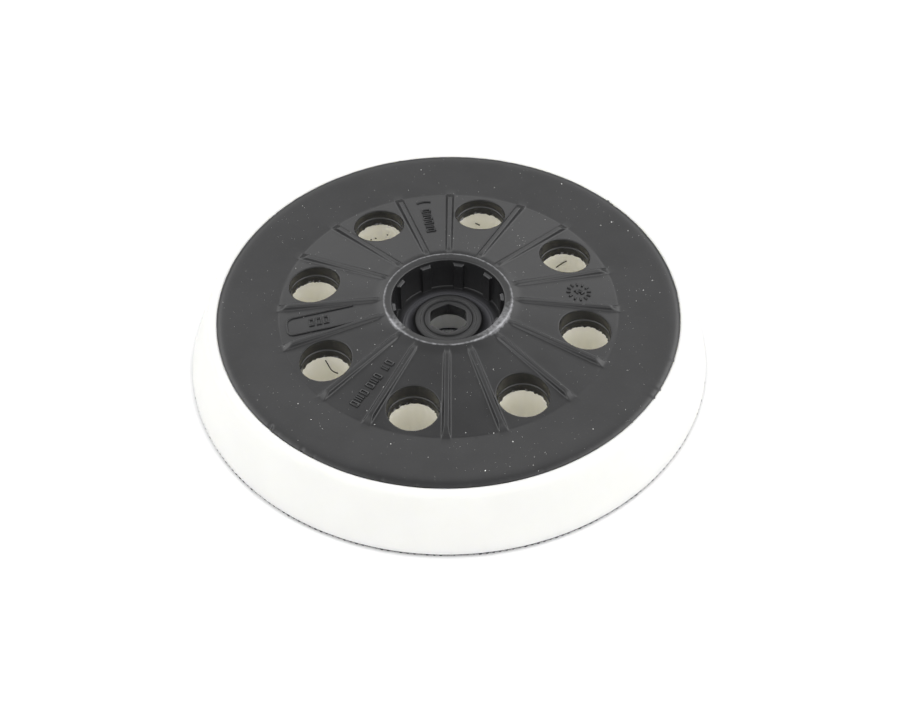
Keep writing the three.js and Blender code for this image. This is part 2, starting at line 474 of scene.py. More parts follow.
def sector_sheet(shell, inner, outer, hole, inner_steps, outer_steps, side_radii, cloud, height):
    """Adds the sheet to the shell and gives back the ring of points round its hole."""
    inner_arc = polar(np.full(inner_steps + 1, inner), np.linspace(-HALF, HALF, inner_steps + 1))
    outer_arc = polar(np.full(outer_steps + 1, outer), np.linspace(-HALF, HALF, outer_steps + 1))
    sides = [polar(side_radii, np.full(len(side_radii), a)) for a in (-HALF, HALF)]
    ring = hole_ring(hole)
    chains = [inner_arc, np.concatenate([sides[1], outer_arc[-1:]]), outer_arc[:-1][::-1], sides[0][::-1]]
    rim = np.concatenate(chains)
    points = np.concatenate([rim, ring, cloud])
    loops = [(0, len(rim)), (len(rim), len(rim) + len(ring))]
    edges = [(i, i + 1 if i + 1 < stop else start) for start, stop in loops for i in range(start, stop)]
    flat, _, faces = delaunay_2d_cdt([Vector(p) for p in points], edges, [], 0, 1e-6, False)[:3]
    xy = np.array([tuple(p) for p in flat])
    reach = np.hypot(xy[:, 0], xy[:, 1])
    away = np.hypot(xy[:, 0] - hole_pitch, xy[:, 1])
    on_hole, on_inner = np.abs(away - hole) < 1e-4, np.abs(reach - inner) < 1e-4
    on_side = np.abs(np.abs(np.arctan2(xy[:, 1], xy[:, 0])) - HALF) < 1e-5
    start = len(shell.points)
    shell.ring(np.column_stack([xy, height(xy[:, 0], xy[:, 1])]))
    for face in faces:
        corners = list(face)
        if not any(line[corners].all() for line in (on_hole, on_inner, on_side)):
            shell.faces.append(tuple(start + i for i in corners))
    around = np.arctan2(xy[:, 1], xy[:, 0] - hole_pitch) % (2 * np.pi)
    found = sorted(np.flatnonzero(on_hole), key=lambda i: around[i] % (2 * np.pi - 1e-4))
    return [start + int(i) for i in found]


def flat_at(height):
    """The height function of a level sheet."""
    return lambda x, y: np.full(np.shape(x), height)


def from_hole_centre(x, y):
    """Distance from the middle of the nearest dust hole, anywhere on the pad."""
    radius, angle = np.hypot(x, y), np.arctan2(y, x)
    local = (angle - hole_angle + HALF) % SECTOR - HALF
    return np.hypot(radius * np.cos(local) - hole_pitch, radius * np.sin(local))


def spread(inner, outer, step, keep):
    """A polar cloud of points, step apart, where keep(x, y) is true."""
    cloud = []
    for i, radius in enumerate(np.arange(inner, outer, step)):
        count = max(2, round(radius * SECTOR / step))
        angles = -HALF + (np.arange(count) + 0.25 + 0.5 * (i % 2)) * SECTOR / count
        cloud.append(polar(np.full(count, radius), angles))
    cloud = np.concatenate(cloud)
    return cloud[keep(cloud[:, 0], cloud[:, 1])]


# %% [markdown]
# ## Eight sectors with Geometry Nodes
#
# The tree puts one copy of the sector on each of a handful of points, turns copy number i by
# i eighths of a turn, realizes the copies and welds their edges, so the copies are real geometry
# and not instances. The export drops instances, so they are made real here.


# %% Build the tree that repeats round the axis
def socket(tree, name, kind, default=None, way="INPUT"):
    made = tree.interface.new_socket(name=name, in_out=way, socket_type=kind)
    if default is not None:
        made.default_value = default


def start_tree(name, **inputs):
    """A Geometry Nodes tree with the given inputs; gives the tree and the input node's outputs."""
    tree = bpy.data.node_groups.new(name, "GeometryNodeTree")
    socket(tree, "Geometry", "NodeSocketGeometry")
    for key, (kind, default) in inputs.items():
        socket(tree, key.replace("_", " "), kind, default)
    socket(tree, "Material", "NodeSocketMaterial")
    socket(tree, "Geometry", "NodeSocketGeometry", way="OUTPUT")
    return tree, add(tree, "NodeGroupInput").outputs


def end_tree(tree, given, geometry):
    """Realize Instances, Set Material and the output, which every tree ends with."""
    real = add(tree, "GeometryNodeRealizeInstances", {"Geometry": geometry})
    return add(
        tree,
        "GeometryNodeSetMaterial",
        {"Geometry": real.outputs[0], "Material": given["Material"]},
    ).outputs[0]


def round_axis_tree():
    tree, given = start_tree(
        "repeat_round_axis",
        Count=("NodeSocketInt", HOLES),
        First_Angle=("NodeSocketFloat", 0.0),
        Weld=("NodeSocketFloat", 0.004 * MM),
    )
    points = add(tree, "GeometryNodePoints", {"Count": given["Count"], "Position": (0, 0, 0)})
    step = add(tree, "ShaderNodeMath", {0: 2 * math.pi, 1: given["Count"]}, operation="DIVIDE")
    index = add(tree, "GeometryNodeInputIndex").outputs[0]
    turned = add(
        tree,
        "ShaderNodeMath",
        {0: index, 1: step.outputs[0], 2: given["First Angle"]},
        operation="MULTIPLY_ADD",
    )
    turn = add(tree, "ShaderNodeCombineXYZ", {"Z": turned.outputs[0]})
    copies = add(
        tree,
        "GeometryNodeInstanceOnPoints",
        {"Points": points.outputs[0], "Instance": given["Geometry"], "Rotation": turn.outputs[0]},
    )
    real = end_tree(tree, given, copies.outputs[0])
    weld = add(tree, "GeometryNodeMergeByDistance", {"Geometry": real, "Distance": given["Weld"]})
    add(tree, "NodeGroupOutput", {0: weld.outputs[0]})
    return tree


# %% [markdown]
# A tree runs as a modifier. Its inputs are set by each socket's identifier before the object is
# evaluated for the first time, and the result is copied into a plain mesh.


# %% Run a tree
def grow(tree, base, material, **values):
    modifier = base.modifiers.new(tree.name, "NODES")
    modifier.node_group = tree
    wanted = {key.replace("_", " "): value for key, value in values.items()}
    wanted["Material"] = material
    for item in tree.interface.items_tree:
        if item.in_out == "INPUT" and item.name in wanted:
            modifier[item.identifier] = wanted[item.name]
    view = bpy.context.evaluated_depsgraph_get()
    made = bpy.data.meshes.new_from_object(base.evaluated_get(view), depsgraph=view)
    base.modifiers.clear()
    bpy.data.objects.remove(base)
    return made


def repeat_sectors(tree, shell, material):
    base = link("sector", mesh_of([shell], "sector"), material)
    return grow(tree, base, material, Count=HOLES, First_Angle=hole_angle)


def with_shells(mesh, shells, name):
    """One mesh from a grown mesh and more shells."""
    work = bmesh.new()
    work.from_mesh(mesh)
    work.from_mesh(mesh_of(shells, name))
    whole = bpy.data.meshes.new(name)
    work.to_mesh(whole)
    work.free()
    return whole


round_axis = round_axis_tree()
print("tree", round_axis.name, "ready")

# %% [markdown]
# ## Backing plate
#
# ### The shape of the top
#
# Seen from the side, the plate is an outer ring, a shallow cone and a raised rim round the drive
# socket. The ring is flat in the CAD model; a moulding warps as it cools, and here its edge stands a
# little higher than its inside. Sixteen drafted ribs stand on the cone, one on each side of every
# dust hole. All of this is a height for each point, so one function can hold it. A smooth maximum
# joins a rib to the cone with a small fillet, the way a cutter with a round tip leaves it in the
# mould.

# %% Sizes of the cone and the rim
CONE_RISE = 2.73
CONE_STEP = -0.15
FOLD_LEVEL = -0.25
RING_DISH = 0.85
STEP_RUN = 0.6
RING_MARGIN = 1.2
RIM_REACH = 2.0
RIM_SLOPE = 0.35
hole_radius = 6.0
socket_radius = 13.05
crest_radius = 14.9
dish_radius = hole_pitch + hole_radius + RING_MARGIN
cone_foot = dish_radius - 0.5
cone_start = crest_radius + RIM_REACH


def smooth_max(a, b, blend):
    overlap = np.maximum(blend - np.abs(a - b), 0) / blend
    return np.maximum(a, b) + overlap * overlap * blend / 4


def smooth_min(a, b, blend):
    return -smooth_max(-a, -b, blend)


def ease(t):
    t = np.clip(t, 0, 1)
    return t * t * (3 - 2 * t)


def ring_level(radius):
    """The outer ring: lowest at the foot of the cone, a little higher towards its edge."""
    share = np.clip((radius - dish_radius) / (plate_radius - dish_radius), 0, 1)
    return ring_height + FOLD_LEVEL + RING_DISH * share


def cone_height(radius):
    share = (radius - cone_start) / (cone_foot - cone_start)
    cone = ring_height + CONE_RISE + (CONE_STEP - CONE_RISE) * share
    drop = (CONE_STEP - FOLD_LEVEL) * (1 - ease((radius - cone_foot) / STEP_RUN))
    return np.where(radius < cone_foot, cone, ring_level(radius) + drop)


def turned_height(radius):
    rim = rim_crest - RIM_SLOPE * (radius - crest_radius)
    return smooth_max(cone_height(radius), rim, 0.15)


# %% Sizes of the ribs
RIB_OFFSET = 1.42
RIB_WIDTH = 1.1
RIB_RAMP = 1.8
RIB_DRAFT = 0.42
RIM_FILLET = 0.25
rib_angle = math.asin((hole_radius + RIB_OFFSET) / hole_pitch)
rib_end = dish_radius
ramp_start = rib_end - RIB_RAMP
RIB_HEIGHTS = [(15.8, -0.15), (17.2, 0.42), (21.5, 0.58), (28.0, 0.7), (35.0, 0.92), (ramp_start, 1.0)]


def rib_frame(x, y, side):
    """Distance along a rib's middle line and across it."""
    c, s = math.cos(rib_angle), math.sin(rib_angle) * side
    return x * c + y * s, y * c - x * s


def rib_top(along):
    return cone_height(along) + np.interp(along, *zip(*RIB_HEIGHTS))


def rib_height(x, y, side):
    along, across = rib_frame(x, y, side)
    top = rib_top(along)
    flank = top + (RIB_WIDTH / 2 - np.abs(across)) / RIB_DRAFT
    ramp_top = rib_top(np.array(ramp_start))
    ramp = ramp_top - (along - ramp_start) * (ramp_top - ring_height - FOLD_LEVEL) / RIB_RAMP
    return smooth_min(smooth_min(top, flank, 0.45), ramp, 0.35)


def top_height(x, y):
    radius = np.hypot(x, y)
    height = turned_height(radius)
    for side in (-1, 1):
        height = smooth_max(height, rib_height(x, y, side), 0.55)
    away = np.clip(np.hypot(x - hole_pitch, y) - hole_radius, 0, RIM_FILLET)
    return height - (RIM_FILLET - np.sqrt(RIM_FILLET**2 - (RIM_FILLET - away) ** 2))


print(f"ribs stand {math.degrees(rib_angle):.1f} degrees either side of each hole")

# %% [markdown]
# ### Points where the shape is busy
#
# The cloud of points has rings round the hole, lines along each rib at its edges and feet, rings
# at the foot of the cone, and an even spread elsewhere.

# %% Gather the points of the top
TOP_INNER = crest_radius + 0.4
EDGE_ROUND = 3.4
top_outer = plate_radius - EDGE_ROUND
RING_OFFSETS = (0.05, 0.12, RIM_FILLET, 0.42, 0.75, 1.2)


def flank_reach(along):
    """Half width of a rib at its foot."""
    tall = np.maximum(rib_top(along) - cone_height(along), 0)
    return RIB_WIDTH / 2 + RIB_DRAFT * tall


def rib_points():
    ramp_rows = np.arange(ramp_start - 0.3, 40.3, 0.2)
    rows = np.concatenate([np.arange(16.2, ramp_start - 0.3, 0.42), ramp_rows])
    lines = []
    for side in (-1, 1):
        for along in rows:
            edge, foot = RIB_WIDTH / 2, flank_reach(min(along, ramp_start))
            marks = [0, edge - 0.25, edge - 0.1, edge, edge + 0.1, (edge + foot) / 2]
            marks += [foot - 0.1, foot, foot + 0.13, foot + 0.4]
            across = np.array(sorted({round(m * way, 4) for m in marks for way in (-1, 1)}))
            c, s = math.cos(rib_angle), math.sin(rib_angle) * side
            lines.append(np.stack([along * c - across * s, along * s + across * c], axis=1))
    return np.concatenate(lines)


def near_rib(x, y, margin):
    close = np.zeros(np.shape(x), dtype=bool)
    for side in (-1, 1):
        along, across = rib_frame(x, y, side)
        close |= (np.abs(across) < flank_reach(np.minimum(along, ramp_start)) + margin) & (along < 40.8)
    return close


def from_hole(x, y):
    return np.hypot(x - hole_pitch, y) - hole_radius


def inside_sector(points, margin=0.25):
    radius, angle = np.hypot(points[:, 0], points[:, 1]), np.arctan2(points[:, 1], points[:, 0])
    sideways = radius * np.sin(HALF - np.abs(angle))
    return points[(radius > TOP_INNER + margin) & (radius < top_outer - margin) & (sideways > margin)]


def top_cloud():
    rings = np.concatenate([hole_ring(hole_radius + offset) for offset in RING_OFFSETS])
    rings = rings[~near_rib(rings[:, 0], rings[:, 1], 0.45) | (from_hole(rings[:, 0], rings[:, 1]) < 0.15)]
    ribs = rib_points()
    ribs = ribs[from_hole(ribs[:, 0], ribs[:, 1]) > 0.16]
    open_ground = lambda x, y: (from_hole(x, y) > 1.5) & ~near_rib(x, y, 0.7)
    fine = spread(TOP_INNER + 0.4, 38.6, 0.75, open_ground)
    steps = [spread(r, r + 0.01, 0.6, open_ground) for r in (38.9, 39.2, 39.35, 39.5, 39.65, 39.8, 40.1)]
    coarse = spread(40.8, top_outer - 0.4, 1.1, open_ground)
    return inside_sector(np.concatenate([rings, ribs, fine, *steps, coarse]))


# %% [markdown]
# ### Dust bores and underside
#
# Each dust hole is a collar that reaches into the foam. Its bore steps in halfway down, and ends in
# a thin, slightly ragged lip of flash. The underside is never seen, so it gets few points, but it
# closes the solid.

# %% Build the plate's sector
COLLAR_WALL = 1.4
COLLAR_DROP = 0.5
PLATE_THICKNESS = 3.85
LIP_RADIUS = 5.75
STEP_HEIGHT = 13.0
plate_bottom = ring_height - PLATE_THICKNESS
collar_bottom = plate_bottom - COLLAR_DROP
collar_radius = hole_radius + COLLAR_WALL
HUB_COLUMNS = 480
EDGE_COLUMNS = 960
CUP_RADIUS = 15.5

BORE_ROWS = [
    (hole_radius, STEP_HEIGHT + 0.5),
    (hole_radius, STEP_HEIGHT + 0.12),
    (hole_radius - 0.06, STEP_HEIGHT),
    (LIP_RADIUS + 0.06, STEP_HEIGHT - 0.06),
    (LIP_RADIUS, STEP_HEIGHT - 0.15),
    (LIP_RADIUS, STEP_HEIGHT - 0.9),
    (LIP_RADIUS, collar_bottom + 0.9),
    (LIP_RADIUS - 0.05, collar_bottom + 0.3),
    (LIP_RADIUS + 0.02, collar_bottom + 0.06),
    (LIP_RADIUS + 0.15, collar_bottom),
    (collar_radius - 0.2, collar_bottom),
    (collar_radius, collar_bottom + 0.2),
]


def bore_row(radius, height):
    flat = hole_ring(radius)
    return np.column_stack([flat, np.full(len(flat), height)])


def plate_sector():
    shell = Shell()
    outside = np.arange(41, top_outer - 0.3, 1.3)
    sides = np.concatenate([np.arange(16.2, 38.6, 0.75), [39.2, 39.5, 39.8], outside])
    per_sector = (HUB_COLUMNS // HOLES, EDGE_COLUMNS // HOLES)
    top = sector_sheet(
        shell, TOP_INNER, top_outer, hole_radius, *per_sector, sides, top_cloud(), top_height
    )
    skirt = np.array([shell.points[i] for i in top]) - [0, 0, 0.4]
    last = shell.stack([skirt, *(bore_row(*row) for row in BORE_ROWS)], top)
    below = spread(CUP_RADIUS + 2, plate_radius - 2, 4.0, lambda x, y: from_hole(x, y) > 2.2)
    sides_below = np.arange(18, 52, 4.0)
    under = sector_sheet(
        shell, CUP_RADIUS, plate_radius - 0.4, collar_radius,
        *per_sector, sides_below, below, flat_at(plate_bottom),
    )  # fmt: skip
    shell.bridge(last, under)
    return shell


sector = plate_sector()
print("plate sector:", len(sector.points), "points,", len(sector.faces), "faces")

# %% [markdown]
# ### Hub, drive socket and spindle seat
#
# Everything inside the rim is turned, except for the ten driving teeth and the hexagon. Each row of
# the hub is a radius and a height for every column of points. A tooth row mixes two profiles,
# the free wall and the tooth, by how far the column is inside a tooth. A hexagon row takes its
# radius from the distance to the flats, with the corners rounded.

# %% Rows of the hub
TEETH = 10
TOOTH_ANGLE = math.radians(6)
TOOTH_WIDTH = 2.3
TOOTH_RADIUS = 12.2
TOOTH_TOP = 17.4
FLOOR = 10.0
HEX_FLATS = 8.4
HEX_CORNER = 4.65
HEX_ROUND = 0.4
BORE_RADIUS = 4.85
SEAT_RADIUS = 7.0
cup_bottom = seat_height + 0.2
hub_angles = hole_angle - HALF + np.arange(HUB_COLUMNS) * 2 * np.pi / HUB_COLUMNS


def tooth_share():
    pitch = 2 * np.pi / TEETH
    off = np.abs((hub_angles - TOOTH_ANGLE + pitch / 2) % pitch - pitch / 2) * TOOTH_RADIUS
    return 1 - ease((off - TOOTH_WIDTH / 2 + 0.12) / 0.24)


def plain(radius, height):
    return circle(hub_angles, radius, height)


def toothed(wall, tooth):
    share = tooth_share()
    return circle(
        hub_angles,
        wall[0] + (tooth[0] - wall[0]) * share,
        wall[1] + (tooth[1] - wall[1]) * share,
    )


def hexagonal(offset, height):
    """A corner of the hexagon points to +Y, so a flat faces +X."""
    from_flat = (hub_angles + math.pi / 6) % (math.pi / 3) - math.pi / 6
    flats = HEX_FLATS / 2 / np.cos(from_flat)
    corner = np.full_like(flats, HEX_CORNER)
    return circle(hub_angles, smooth_min(flats, corner, HEX_ROUND) + offset, height)


def hub_rows():
    band = [
        (TOP_INNER, float(turned_height(np.array(TOP_INNER)))), (crest_radius + 0.25, rim_crest - 0.09),
        (crest_radius + 0.12, rim_crest - 0.03), (crest_radius, rim_crest),
        (crest_radius - 0.15, rim_crest - 0.01), (crest_radius - 0.5, rim_crest - 0.05),
        (crest_radius - 0.9, rim_crest - 0.08),
        (socket_radius + 0.5, rim_crest - 0.13), (socket_radius + 0.3, rim_crest - 0.17),
        (socket_radius + 0.14, rim_crest - 0.25), (socket_radius + 0.04, rim_crest - 0.38),
        (socket_radius, rim_crest - 0.55),
    ]  # fmt: skip
    rows = [plain(radius, height) for radius, height in band]
    wall = [
        ((13.04, 17.9), (13.04, 17.75)), ((13.03, 17.7), (12.98, 17.5)), ((13.03, 17.5), (12.8, 17.43)),
        ((13.02, 17.35), (12.5, TOOTH_TOP)), ((13.02, 17.2), (12.3, 17.34)), ((13.01, 17.05), (12.21, 17.2)),
        ((13.0, 16.6), (12.2, 16.6)), ((12.96, 14.5), (12.2, 14.5)), ((12.91, 12.2), (12.2, 12.2)),
        ((12.86, 10.3), (12.2, 10.3)), ((12.82, 10.08), (12.16, 10.08)), ((12.7, FLOOR), (12.1, FLOOR)),
        ((12.0, FLOOR), (12.0, FLOOR)),
    ]  # fmt: skip
    rows += [toothed(free, tooth) for free, tooth in wall]
    floor_and_boss = [
        (11.4, 0), (10.9, 0), (10.75, 0.05), (10.6, 0), (10.3, 0), (10.15, 0.05), (10.0, 0), (9.7, 0),
        (9.45, 0.04), (9.2, 0.15), (8.9, 0.4), (8.1, 1.72), (7.95, 1.92), (7.8, 2.03), (7.62, 2.09),
        (7.45, 2.1), (6.8, 2.1), (6.68, 2.07), (6.62, 1.98), (6.58, 1.86), (6.48, 1.8), (5.85, 1.8),
        (5.75, 1.86), (5.7, 1.98), (5.64, 2.07), (5.52, 2.1),
    ]  # fmt: skip
    rows += [plain(radius, FLOOR + rise) for radius, rise in floor_and_boss]
    hexagon = ((0.12, 0), (0.04, 0.04), (0, 0.12), (0, 1.2), (0, 2.3))
    rows += [hexagonal(offset, boss_height - drop) for offset, drop in hexagon]
    below = [
        (BORE_RADIUS, seat_height + 1.35), (BORE_RADIUS, seat_height + 0.3),
        (BORE_RADIUS + 0.05, seat_height + 0.1), (BORE_RADIUS + 0.15, seat_height),
        (SEAT_RADIUS - 0.1, seat_height), (SEAT_RADIUS, seat_height + 0.08),
        (SEAT_RADIUS, cup_bottom), (CUP_RADIUS - 0.4, cup_bottom), (CUP_RADIUS, cup_bottom + 0.4),
        (CUP_RADIUS, plate_bottom),
    ]  # fmt: skip
    return rows + [plain(radius, height) for radius, height in below]


hub = Shell()
hub.stack(hub_rows())
print("hub:", len(hub.faces), "faces")

# %% [markdown]
# ### The ragged outer edge
#
# The plate's outer edge rolls over towards the foam, gently at first and steeply in its last
# millimetre. It was trimmed roughly when it was made and has been knocked since, so it wanders by
# a tenth of a millimetre and has small chips and burrs, most of them on one side.

# %% Roll and roughen the edge
EDGE_DROP = 0.45
ROLL = 3
LAST_DROP = 0.3
LAST_START = 0.62
edge_level = ring_height + FOLD_LEVEL + RING_DISH - EDGE_DROP - LAST_DROP
edge_angles = hole_angle - HALF + np.arange(EDGE_COLUMNS) * 2 * np.pi / EDGE_COLUMNS
BIG_CHIPS = [(222.1, -0.75, 0.9), (223.3, 0.4, 0.35), (232.7, -0.35, 0.8), (330.5, 0.45, 0.6)]
BIG_CHIPS += [(327.5, 0.4, 0.5), (340.7, 0.3, 0.5), (42.4, 0.4, 0.45), (40.0, -0.2, 0.6)]
BIG_CHIPS += [(318.0, 0.25, 0.4), (262.0, -0.2, 0.5)]
SMALL_CHIPS = 90


def chip_list():
    chance = random.Random(5)
    chips = [(math.radians(angle), depth, width) for angle, depth, width in BIG_CHIPS]
    for _ in range(SMALL_CHIPS):
        angle = math.radians(chance.gauss(275, 55))
        chips.append((angle, chance.uniform(-0.16, 0.12), chance.uniform(0.25, 0.6)))
    return chips


def edge_offset():
    """How far the edge stands out or is chipped away, for each column."""
    offset = np.array([0.05 * noise.noise(Vector((math.cos(a), math.sin(a), 0.3)) * 14) for a in edge_angles])
    offset += [0.04 * noise.noise(Vector((math.cos(a), math.sin(a), 1.7)) * 55) for a in edge_angles]
    for angle, depth, width in chip_list():
        gap = np.abs((edge_angles - angle + np.pi) % (2 * np.pi) - np.pi) * plate_radius
        offset += depth * (1 - ease(gap / width))
    return offset


def edge_rows():
    offset = edge_offset()
    rows = []
    for t in (0, 0.2, 0.36, 0.5, 0.62, 0.72, 0.81, 0.89, 0.95, 0.985, 1.0):
        turn_down = LAST_DROP * max(0, (t - LAST_START) / (1 - LAST_START)) ** 2
        level = ring_level(top_outer + EDGE_ROUND * t) - EDGE_DROP * t**ROLL - turn_down
        radius = top_outer + EDGE_ROUND * t + offset * ease(np.array((t - 0.5) / 0.5))
        rows.append(circle(edge_angles, radius, level))
    for height in (edge_level - 0.2, plate_bottom + 0.4):
        rows.append(circle(edge_angles, plate_radius - 0.15, height))
    return rows + [circle(edge_angles, plate_radius - 0.4, plate_bottom)]


edge = Shell()
edge.stack(edge_rows())

# %% [markdown]
# ### Join the plate
#
# The eight sectors, the hub and the edge become one closed mesh. Then the flash at the lower lip of
# every bore is pushed about by a noise, so that no two holes are alike.


# %% Make the plate
# The crest line and the two places are pale partly from real wear and partly as a painted highlight.
CREST_WEAR_AND_HIGHLIGHT = 0.6
EVEN_WEAR = 0.14
WORN_AND_LIT_PLACES = [(325, 26, 0.5), (214, 12, 0.4)]
BOSS_FOOT = 8.5
FLOOR_EDGE = 12


def ragged_lips(mesh):
    for vertex in mesh.vertices:
        x, y, z = (c / MM for c in vertex.co)
        low = collar_bottom - 0.01 < z < collar_bottom + 0.4
        angle = math.atan2(y, x)
        turn = round((angle - hole_angle) / SECTOR) * SECTOR + hole_angle
        centre = Vector((hole_pitch * math.cos(turn), hole_pitch * math.sin(turn)))
        out = Vector((x, y)) - centre
        if low and out.length < hole_radius:
            push = 0.4 * noise.noise(Vector((x, y, z)) * 0.9) + 0.3 * noise.noise(Vector((x, y, z)) * 3.1)
            out *= 1 - min(0.5, abs(push)) / out.length
            vertex.co = (centre.x + out.x) * MM, (centre.y + out.y) * MM, (z + 0.4 * push) * MM


def mark_wear_and_highlight(mesh):
    """Pale marks: a line on the rim's crest and two places of (degrees, spread, strength), partly real wear
    and partly painted highlight; spots of painted glints on the bore lips.
    """
    wear_and_highlight = mesh.attributes.new("wear_and_highlight", "FLOAT", "POINT")
    values = np.zeros(len(mesh.vertices))
    for i, vertex in enumerate(mesh.vertices):
        x, y, z = (c / MM for c in vertex.co)
        radius, angle = math.hypot(x, y), math.degrees(math.atan2(y, x)) % 360
        if radius < crest_radius + 0.5 and z > rim_crest - 0.4:
            worn_and_lit = CREST_WEAR_AND_HIGHLIGHT * math.exp(-(((radius - crest_radius) / 0.2) ** 2))
            for middle, width, strength in WORN_AND_LIT_PLACES:
                worn_and_lit += strength * math.exp(-((((angle - middle + 180) % 360 - 180) / width) ** 2))
            values[i] = worn_and_lit + EVEN_WEAR
        # Painted glints: pale spots on the lower lips of the bores, where the flash catches the light.
        elif abs(z - collar_bottom - 0.15) < 0.45 and radius > CUP_RADIUS:
            values[i] = 2.6 * max(0, noise.noise(Vector((x, y, z)) * 1.3) - 0.1)
    wear_and_highlight.data.foreach_set("value", values)


def paint_socket_light(mesh):
    """Painted light: the socket's floor painted lighter, fading towards its wall, and the tops of the teeth
    painted faintly pale as glints.
    """
    painted_socket_light = mesh.attributes.new("painted_socket_light", "FLOAT", "POINT")
    values = np.zeros(len(mesh.vertices))
    for i, vertex in enumerate(mesh.vertices):
        x, y, z = (c / MM for c in vertex.co)
        radius = math.hypot(x, y)
        if BOSS_FOOT < radius < FLOOR_EDGE and FLOOR - 0.1 < z < FLOOR + 1:
            values[i] = 0.9 * (1 - float(ease((radius - 9.8) / 2.1)))
        elif TOOTH_TOP - 0.1 < z < TOOTH_TOP + 0.1 and radius < socket_radius - 0.1:
            values[i] = 0.15
    painted_socket_light.data.foreach_set("value", values)


plate_mesh = with_shells(repeat_sectors(round_axis, sector, nylon), [hub, edge], "backing_plate_moulding")
print("open edges in the plate:", close_up(plate_mesh))
ragged_lips(plate_mesh)
mark_wear_and_highlight(plate_mesh)
paint_socket_light(plate_mesh)
plate = link("backing_plate_moulding", plate_mesh, nylon)
register(plate, "plate", "backing_plate")

# %% [markdown]
# ### Raised marks of the moulding tool
#
# A moulded plate carries small raised marks between its ribs: a date dial with its arrow, a panel
# for the material code and rows of plain boxes and bars. They are thin beads that stand about
# 0.3 mm proud of the cone. Each mark is a chain of points on the cone's surface, and Geometry Nodes
# sweeps a bead along all of them at once.


# %% Build the bead tree
def bead_tree():
    tree, given = start_tree("bead_along_edges", Width=("NodeSocketFloat", 0.3 * MM))
    curve = add(tree, "GeometryNodeMeshToCurve", {"Mesh": given["Geometry"]})
    half = add(tree, "ShaderNodeMath", {0: given["Width"], 1: 0.5}, operation="MULTIPLY")
    profile = add(tree, "GeometryNodeCurvePrimitiveCircle", {"Resolution": 8, "Radius": half.outputs[0]})
    swept = add(
        tree,
        "GeometryNodeCurveToMesh",
        {"Curve": curve.outputs[0], "Profile Curve": profile.outputs[0], "Fill Caps": True},
    )
    add(tree, "NodeGroupOutput", {0: end_tree(tree, given, swept.outputs[0])})
    return tree


beads = bead_tree()


def chains_of(chains, name, material):
    """An object whose edges follow chains of points in millimetres."""
    mesh = bpy.data.meshes.new(name)
    points, edges = [], []
    for chain in chains:
        edges += [(len(points) + i, len(points) + i + 1) for i in range(len(chain) - 1)]
        points += [tuple(c * MM for c in p) for p in chain]
    mesh.from_pydata(points, edges, [])
    return link(name, mesh, material)


def swept(name, chains, width, material):
    mesh = grow(beads, chains_of(chains, name, material), material, Width=width * MM)
    print(name, "open edges:", close_up(mesh))
    return link(name, mesh, material)


# %% Draw the marks on the cone
MARK_LIFT = 0.1
DIAL = (math.radians(7.0), 30.9)
DIAL_RADIUS = 2.9
DIAL_TICKS = 12
MARK_WIDTH = 0.48
PANEL_ANGLE, CODE_ANGLE, CREST_ANGLE = (math.radians(a) for a in (188.5, 234.4, 98.7))


def on_cone(angle, out, across, lift=MARK_LIFT):
    """A point on the cone, out along a ray from the axis and across it."""
    x = out * math.cos(angle) - across * math.sin(angle)
    y = out * math.sin(angle) + across * math.cos(angle)
    return x, y, float(cone_height(np.array(math.hypot(x, y)))) + lift


def dial_marks():
    angle, out = DIAL
    ticks = []
    for i in range(DIAL_TICKS):
        turn = 2 * math.pi * i / DIAL_TICKS
        c, s = math.cos(turn), math.sin(turn)
        ticks.append([on_cone(angle, out + r * c, r * s) for r in (DIAL_RADIUS * 0.68, DIAL_RADIUS)])
    shaft = [on_cone(angle, out + step, -0.35 * step) for step in (-1.1, 1.1)]
    head = [on_cone(angle, out + a, b) for a, b in ((0.35, -0.75), (1.1, -0.39), (0.8, 0.35))]
    ring = [on_cone(angle, out + 0.55 * math.cos(t), 0.55 * math.sin(t)) for t in np.linspace(0.6, 4.4, 9)]
    return [*ticks, shaft, head, ring]


def panel_marks(angle, start, end, half_width, corner):
    """A panel open towards the hub, with two round corners at its outer end."""
    bend = np.linspace(0, math.pi / 2, 6)
    upper = [(start, half_width)]
    upper += [(end - corner + corner * math.sin(t), half_width - corner + corner * math.cos(t)) for t in bend]
    outline = upper + [(out, -across) for out, across in reversed(upper)]
    fine = []
    for (a, b), (c, d) in zip(outline, outline[1:]):
        count = max(1, round(math.hypot(c - a, d - b)))
        fine += [(a + (c - a) * k / count, b + (d - b) * k / count) for k in range(count)]
    return [[on_cone(angle, *p) for p in fine + outline[-1:]]]


def bar_marks(angle, start, end, count, length):
    """A row of short plain bars that lie across the ray."""
    outs = np.linspace(start, end, count)
    return [[on_cone(angle, out, across) for across in (-length / 2, length / 2)] for out in outs]


def box_marks(angle, outs, width, length):
    """Plain boxes, width along the ray and length across it."""
    corners = [(a * width / 2, b * length / 2) for a, b in ((-1, -1), (1, -1), (1, 1), (-1, 1), (-1, -1))]
    return [[on_cone(angle, out + a, b) for a, b in corners] for out in outs]


marks = dial_marks()
marks += panel_marks(PANEL_ANGLE, 22.0, 37.8, 2.7, 1.6)
marks += box_marks(PANEL_ANGLE, (28.6, 30.3, 32.0), 1.0, 1.9)
marks += box_marks(CODE_ANGLE, (23.2, 27.6, 30.6, 32.8, 36.4), 0.85, 1.9)
for start, end, count in ((24.6, 25.1, 2), (28.8, 29.4, 2), (34.0, 35.2, 3)):
    marks += bar_marks(CODE_ANGLE, start, end, count, 1.9)
marks += [[on_cone(CREST_ANGLE, 37.2 - 0.12 * a * a, a) for a in np.linspace(-1.7, 1.7, 9)]]
marks += box_marks(CREST_ANGLE, (25.3, 28.5, 30.1, 33.3), 0.9, 2.0)
for start, end in ((26.6, 27.2), (31.4, 32.0)):
    marks += bar_marks(CREST_ANGLE, start, end, 2, 2.0)
mould_marks = swept("mould_marks", marks, MARK_WIDTH, nylon)
register(mould_marks, "plate")

